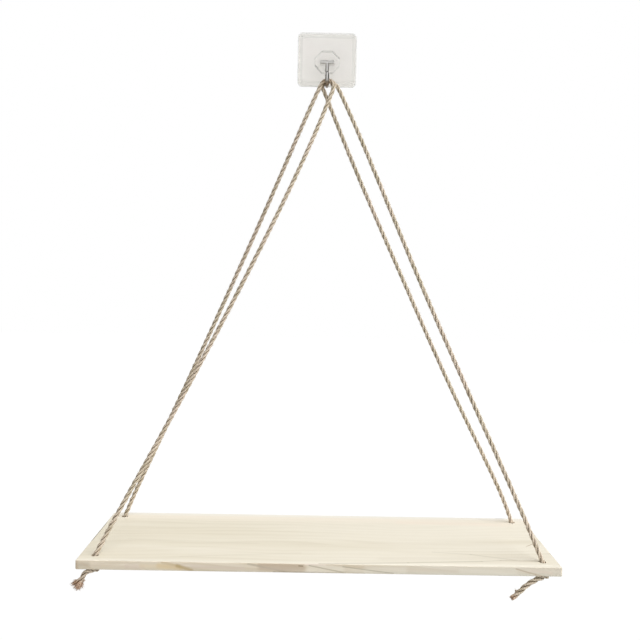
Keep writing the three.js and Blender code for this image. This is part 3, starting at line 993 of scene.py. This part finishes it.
# %% Put the sides together, with the finest grain over all
fine = stretched(16, 620, 3, 0.6)
pores = stretched(46, 1700, 2)
wood = pine.mix(on_front, wood, edge_wood_and_shade)
wood = pine.mix(on_end, wood, end_wood)
wood = pine.layers(
    wood,
    (pine.ramp(fine, 0.5, 0.8) * 0.22, (208, 195, 166)),
    (pine.ramp(pores, 0.62, 0.85) * 0.2, (190, 174, 142)),
)
pine.set(Base_Color=wood)
pine.bump(fine * 0.6 + pores * 0.4, 0.15, 0.2 * MM)
dress(board, pine)

# %% [markdown]
# ## The wire hook
#
# The hook is one bent wire with a cross bar. It could be a curve with a round section, but
# modelling it shows what a wire bender does: a circle is pulled straight, spun round a bend, and
# so on to the tip, which is rounded off in small steps.

# %% Bend the wire
WIRE = 2 * MM
WIRE_SIDES = 32
BAR_Y, BAR_Z = -8.4 * MM, -4.2 * MM
BAR_LENGTH = 15 * MM
BAR_ROUND = 0.5 * MM
STEM_LENGTH = 26 * MM
CUP_Z = BAR_Z - STEM_LENGTH
CUP_REACH = 17.2 * MM
BEND, BEND_STEPS = 6 * MM, 14
TIP_Z = CUP_Z + 12.7 * MM
CAP_STEPS = 6
CAP_FLAT = 0.05


def pull(y=0.0, z=0.0):
    bpy.ops.mesh.extrude_region_move(TRANSFORM_OT_translate={"value": (0, y, z)})


def spin(y, z):
    """A quarter turn of what is selected, about an axis along x through the point (y, z)."""
    bpy.ops.mesh.spin(steps=BEND_STEPS, angle=math.pi / 2, center=(0, y, z), axis=(1, 0, 0))


begin()
bpy.ops.mesh.primitive_circle_add(vertices=WIRE_SIDES, radius=WIRE, fill_type="NGON",
                                  location=(0, BAR_Y, BAR_Z))
edit()
bpy.ops.mesh.select_all(action="SELECT")
pull(z=CUP_Z + BEND - BAR_Z)
spin(BAR_Y - BEND, CUP_Z + BEND)
pull(y=-(CUP_REACH - 2 * BEND))
spin(BAR_Y - CUP_REACH + BEND, CUP_Z + BEND)
pull(z=TIP_Z - WIRE - CUP_Z - BEND)
for step in range(1, CAP_STEPS + 1):
    low, high = (math.radians(90 * n / CAP_STEPS) for n in (step - 1, step))
    pull(z=WIRE * (math.sin(high) - math.sin(low)))
    shrink = max(math.cos(high), CAP_FLAT) / math.cos(low)
    middle = (0, BAR_Y - CUP_REACH, TIP_Z - WIRE * (1 - math.sin(high)))
    bpy.ops.transform.resize(value=(shrink, shrink, 1), center_override=middle)
bpy.ops.mesh.select_all(action="SELECT")
bpy.ops.mesh.normals_make_consistent(inside=False)
hook = done("hook_wire")
print("hook wire:", len(hook.data.polygons), "faces, box",
      [round(v / MM, 1) for v in hook.dimensions])

# %% Add the cross bar
cylinder(WIRE, BAR_LENGTH, (0, BAR_Y, BAR_Z), WIRE_SIDES, LYING)
edit()
bevel(lambda middle, way: abs(way.z) < 0.5 and abs(middle.z) > BAR_LENGTH / 2 - ROUGHLY,
      BAR_ROUND, 3)
combine(hook, "UNION")
smooth(hook)
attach(hook, "hook")
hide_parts("wire_hook")
hook.visible_shadow = False

# %% [markdown]
# ## Bright steel
#
# Plated wire mirrors the room, and its only marks are the faint lines of drawing along it and a
# slight dulling. The lines are too fine to model, so they go into the roughness and the bump. Two
# tints stand for what this wire mirrors: the brown ropes in its lower bend, and the dark side of
# the room at its tip. Within the housing it looks duller.

# %% Make the steel
ACROSS_WIRE, ALONG_WIRE = 2600, 90

steel = Finish("steel", Metallic=1.0)
x, y, z = steel.split(steel.place())
drawn = steel.noise(steel.join(x * ACROSS_WIRE, y * ACROSS_WIRE, z * ALONG_WIRE), 1, 2)
dull = steel.noise(steel.place(), 420, 2)
bend = steel.ramp_mm(z, -25.5, -28.5)
tip = steel.ramp_mm(z, -19.2, -18.2) * steel.ramp_mm(y, -20, -22)
housed = steel.ramp_mm(z, -17, -13)
# Painted reflections: the brown ropes in the lower bend and the dark side of the room at the tip.
shine = steel.layers(
    color(232, 231, 228),
    (dull, (208, 206, 202)),
    (bend * 0.85, (124, 104, 82)),
    (tip * 0.85, (84, 80, 74)),
)
steel.set(Base_Color=shine)
steel.set(Roughness=0.12 + dull * 0.14 + drawn * 0.05 + housed * 0.16)
steel.bump(drawn, 0.05, 0.05 * MM)
dress(hook, steel)

# %% [markdown]
# ## The clear wall plate
#
# The plate is one clear moulding: a thin square with round corners, a field that stands slightly
# proud inside a border, and an octagonal housing for the hook's cross bar. The square and the
# housing are each a cube whose edges are cut back, the field is inset and pulled out of the
# square's front, and the housing is joined on so that no inner wall shows through.

# %% The flat plate with its raised field
PLATE_WIDTH, PLATE_HEIGHT = 63 * MM, 57 * MM
PLATE_BACK = -0.55 * MM
BORDER_THICKNESS = 1.75 * MM
BORDER_WIDTH = 4.5 * MM
FIELD_RISE = 0.8 * MM
FIELD_DRAFT = (0.97, 1, 0.967)
PLATE_ROUND, FIELD_ROUND = 5 * MM, 0.35 * MM
BORDER_FRONT = PLATE_BACK - BORDER_THICKNESS
FIELD_FRONT = BORDER_FRONT - FIELD_RISE

block((-PLATE_WIDTH / 2, BORDER_FRONT, -PLATE_HEIGHT / 2),
      (PLATE_WIDTH / 2, PLATE_BACK, PLATE_HEIGHT / 2))
bevel(runs_back, PLATE_ROUND, 10)
pick("FACE", lambda middle, normal: normal.y < -ALONG)
bpy.ops.mesh.inset(thickness=BORDER_WIDTH)
pull(y=-FIELD_RISE)
bpy.ops.transform.resize(value=FIELD_DRAFT, center_override=(0, FIELD_FRONT, 0))
bevel(lambda middle, way: middle.y < BORDER_FRONT + CLOSE and abs(way.y) < ACROSS, FIELD_ROUND, 3)
plate = done("clear_plate")
print("plate:", len(plate.data.polygons), "faces")

# %% The octagonal housing
BOSS_WIDTH, BOSS_HEIGHT = 26.4 * MM, 22.6 * MM
BOSS_DROP = 4 * MM
BOSS_FRONT = FIELD_FRONT - 9.4 * MM
BOSS_LOW = -BOSS_DROP - BOSS_HEIGHT / 2
BOSS_HIGH = -BOSS_DROP + BOSS_HEIGHT / 2
BOSS_CORNER, BOSS_ROUND = 7.5 * MM, 1.6 * MM

block((-BOSS_WIDTH / 2, BOSS_FRONT, BOSS_LOW), (BOSS_WIDTH / 2, BORDER_FRONT, BOSS_HIGH))
bevel(runs_back, BOSS_CORNER, 1)
bevel(lambda middle, way: middle.y < BOSS_FRONT + CLOSE and abs(way.y) < ACROSS, BOSS_ROUND, 6)
combine(plate, "UNION")
print("plate with its housing:", len(plate.data.polygons), "faces")

# %% [markdown]
# The housing is hollow where the hook moves. Below the bar the front is a shallow window under a
# rounded brow, the stem has a slot that is open in front and below, and the bar itself turns in
# a round seat that it reaches from behind.

# %% Cut the window, the slot and the seat
WINDOW_WIDTH = 19 * MM
WINDOW_DEPTH = 1.3 * MM
WINDOW_TOP = -1.6 * MM
WINDOW_BACK = BOSS_FRONT + WINDOW_DEPTH
WINDOW_CORNER, WINDOW_ROUND = 2.4 * MM, 0.7 * MM
SLOT_HALF, SLOT_ROUND = WIRE + 0.5 * MM, 1 * MM
SLOT_BACK = BAR_Y + WIRE + 0.3 * MM
SEAT = WIRE + 0.15 * MM
SEAT_HALF = BAR_LENGTH / 2 + 0.5 * MM
OVERRUN = 1 * MM

block((-WINDOW_WIDTH / 2, BOSS_FRONT - 3 * OVERRUN, BOSS_LOW - OVERRUN * 4),
      (WINDOW_WIDTH / 2, WINDOW_BACK, WINDOW_TOP))
bevel(lambda middle, way: runs_back(middle, way) and middle.z > BOSS_LOW, WINDOW_CORNER, 6)
bevel(lambda middle, way: middle.y > WINDOW_BACK - CLOSE and abs(way.y) < ACROSS, WINDOW_ROUND, 4)
combine(plate)

block((-SLOT_HALF, BOSS_FRONT - OVERRUN, BOSS_LOW - OVERRUN), (SLOT_HALF, SLOT_BACK, BAR_Z + SEAT))
bevel(lambda middle, way: runs_back(middle, way) and middle.z > BAR_Z, SLOT_ROUND, 4)
combine(plate)

cylinder(SEAT, 2 * SEAT_HALF, (0, BAR_Y, BAR_Z), turned=LYING)
combine(plate)
block((-SEAT_HALF, BAR_Y, BAR_Z - SEAT), (SEAT_HALF, PLATE_BACK + OVERRUN, BAR_Z + SEAT))
combine(plate)
smooth(plate, 28)
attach(plate, "wall_mount")
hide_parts("wall_plate")

# %% [markdown]
# ## Clear plastic and the adhesive behind it
#
# Clear plastic on white shows almost only its edges: light that crosses a wall at a slant comes
# from somewhere darker. So the walls that stand square to the plate are greyer and denser than
# the faces, and the housing's slanted sides are the darkest. The flat adhesive sheet behind gives
# the even, slightly warm grey. The masks below are areas of the plate, in millimetres from its
# middle.

# %% Make the plastic and the adhesive
CLEAR_IOR = 1.49

plastic = Finish("clear_plastic", IOR=CLEAR_IOR)
nx, ny, nz = plastic.split(plastic.node("TexCoord", output="Normal"))
x, _, z = plastic.split(plastic.place())
out_x, out_z = x.size(), z.size()
by_bar = plastic.ramp_mm(out_x, 9.5, 8.5) * plastic.ramp_mm((z - BAR_Z).size(), 4.2, 3)
housing = plastic.ramp_mm(out_x, 16, 15) * plastic.ramp_mm((z + BOSS_DROP).size(), 14, 13)
beyond_film = (out_x - 30.4 * MM).at_least(out_z - 27.4 * MM)
beyond_field = (out_x - 26.3 * MM).at_least(out_z - 23.3 * MM)
step = plastic.ramp_mm(beyond_film, -0.5, -1.5) * (1 - housing)
corner = plastic.ramp_mm(out_x, 24.5, 25.5) * plastic.ramp_mm(out_z, 21.5, 22.5) * step
rim = plastic.ramp_mm(beyond_film, -0.3, 0.3)
border = plastic.ramp_mm(beyond_field, -0.2, 0.5)
line = plastic.ramp_mm(beyond_field.size(), 0.9, 0) * plastic.ramp_mm(out_z, 20, 24)
wall = (plastic.ramp(ny.size(), 0.93, 0.3)
        * (1 - by_bar * 0.7) * (1 - step * 0.55) * (1 - corner * 0.9))
slanted = plastic.ramp((nx + nz).size(), 0.85, 1.3) * wall * housing
facing = plastic.ramp(ny, 0.2, -0.2)
haze = plastic.noise(plastic.place(), 60, 3)
# Painted shade: the walls, the field's edge line and the housing's slanted sides are greyer, for
# the darker light seen through them at a slant.
plastic.set(Base_Color=plastic.layers(
    color(250, 249, 246),
    (wall, (176, 180, 172)),
    (rim, (230, 230, 226)),
    (border * (1 - rim), (212, 215, 209)),
    (line, (196, 199, 193)),
    (slanted, (78, 78, 74)),
))
density = (0.03 + wall * 0.36 + slanted * 0.4 + haze * 0.02 + border * 0.04 + rim * 0.42
           + line * 0.06)
plastic.set(Alpha=density * (0.25 + facing * 0.75))
plastic.set(Roughness=0.06 + haze * 0.08)
dress(plate, plastic)
plate.visible_shadow = False

plug_plastic = Finish("plug_plastic", Roughness=0.1, IOR=CLEAR_IOR,
                      Base_Color=color(250, 249, 246), Alpha=0.04)
dress(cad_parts["bar_keeper"], plug_plastic)

adhesive = Finish("adhesive", Roughness=0.45, Alpha=0.9)
cloud = adhesive.noise(adhesive.place(), 38, 3)
adhesive.set(Base_Color=adhesive.mix(cloud, color(242, 237, 233), color(240, 239, 234)))
dress(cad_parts["adhesive_film"], adhesive)

# %% [markdown]
# ## Light, floor and background
#
# The photograph is lit from the right: the ropes are nearly white on that side and brown on the
# other. A large soft sun and an even, weak world give that at a plain level. The white ground is
# only what the camera sees of the world, also through clear plastic, so it adds no light. What
# the wire mirrors is a room with a darker left and right, floor and ceiling.
#
# The photograph shows no shadow of the hook on the plate, so neither casts one. Multiple importance
# sampling also finds a wide sun by rays that ignore that setting, so it is off for the sun.

# %% The world
AMBIENT = 0.47
SIDES_DARK, FLOOR_DARK, CEILING_DARK = 0.9, 0.4, 0.6
scene = bpy.context.scene
scene.view_settings.view_transform = "Standard"
world = bpy.data.worlds.new("world")
scene.world = world
world.use_nodes = True
sky = Tree(world.node_tree)
backdrop = world.node_tree.nodes["Background"]
seen, through, mirrored = (sky.node("LightPath", output=f"Is {kind} Ray")
                           for kind in ("Camera", "Transmission", "Glossy"))
way_x, _, way_z = sky.split(sky.node("TexCoord", output="Generated"))
sides = sky.ramp(way_x.size(), 0.4, 0.75) * SIDES_DARK
below = sky.ramp(way_z, -0.15, -0.35) * FLOOR_DARK
above = sky.ramp(way_z, 0.55, 0.85) * CEILING_DARK
room = 1 - sides.at_least(below.at_least(above))
plain = seen.at_least(through)
level = plain + (1 - plain) * (mirrored * room + (1 - mirrored) * AMBIENT)
plug(sky.tree, level, backdrop.inputs["Strength"])
backdrop.inputs["Color"].default_value = (1, 1, 1, 1)

# %% The soft sun
SUN_FROM = Vector((0.7, -0.42, 0.58))
SUN_STRENGTH, SUN_WIDTH = 3.1, math.radians(80)

sun = bpy.data.lights.new("soft_sun", "SUN")
sun.energy = SUN_STRENGTH
sun.angle = SUN_WIDTH
sun.cycles.use_multiple_importance_sampling = False
lamp = bpy.data.objects.new("soft_sun", sun)
lamp.visible_glossy = False
lamp.matrix_world = SUN_FROM.to_track_quat("Z", "Y").to_matrix().to_4x4()
scene.collection.objects.link(lamp)

# %% The floor
FLOOR_Z, FLOOR_SIZE = -0.8, 12
FLOOR_GLOW, GLOW_SHARE = 1.07, 0.9

begin()
bpy.ops.mesh.primitive_plane_add(size=FLOOR_SIZE, location=(0, 0, FLOOR_Z))
floor = done("floor")
ground = Finish("floor", Roughness=0.9, Base_Color=color(205, 205, 203))
glow = ground.node("Emission", inputs={"Strength": FLOOR_GLOW})
seen = ground.node("LightPath", output="Is Camera Ray")
shown = Value(ground.tree, ground.surface.outputs[0])
blend = ground.node("MixShader", inputs={0: seen * GLOW_SHARE, 1: shown, 2: glow})
plug(ground.tree, blend, ground.tree.nodes["Material Output"].inputs["Surface"])
dress(floor, ground)
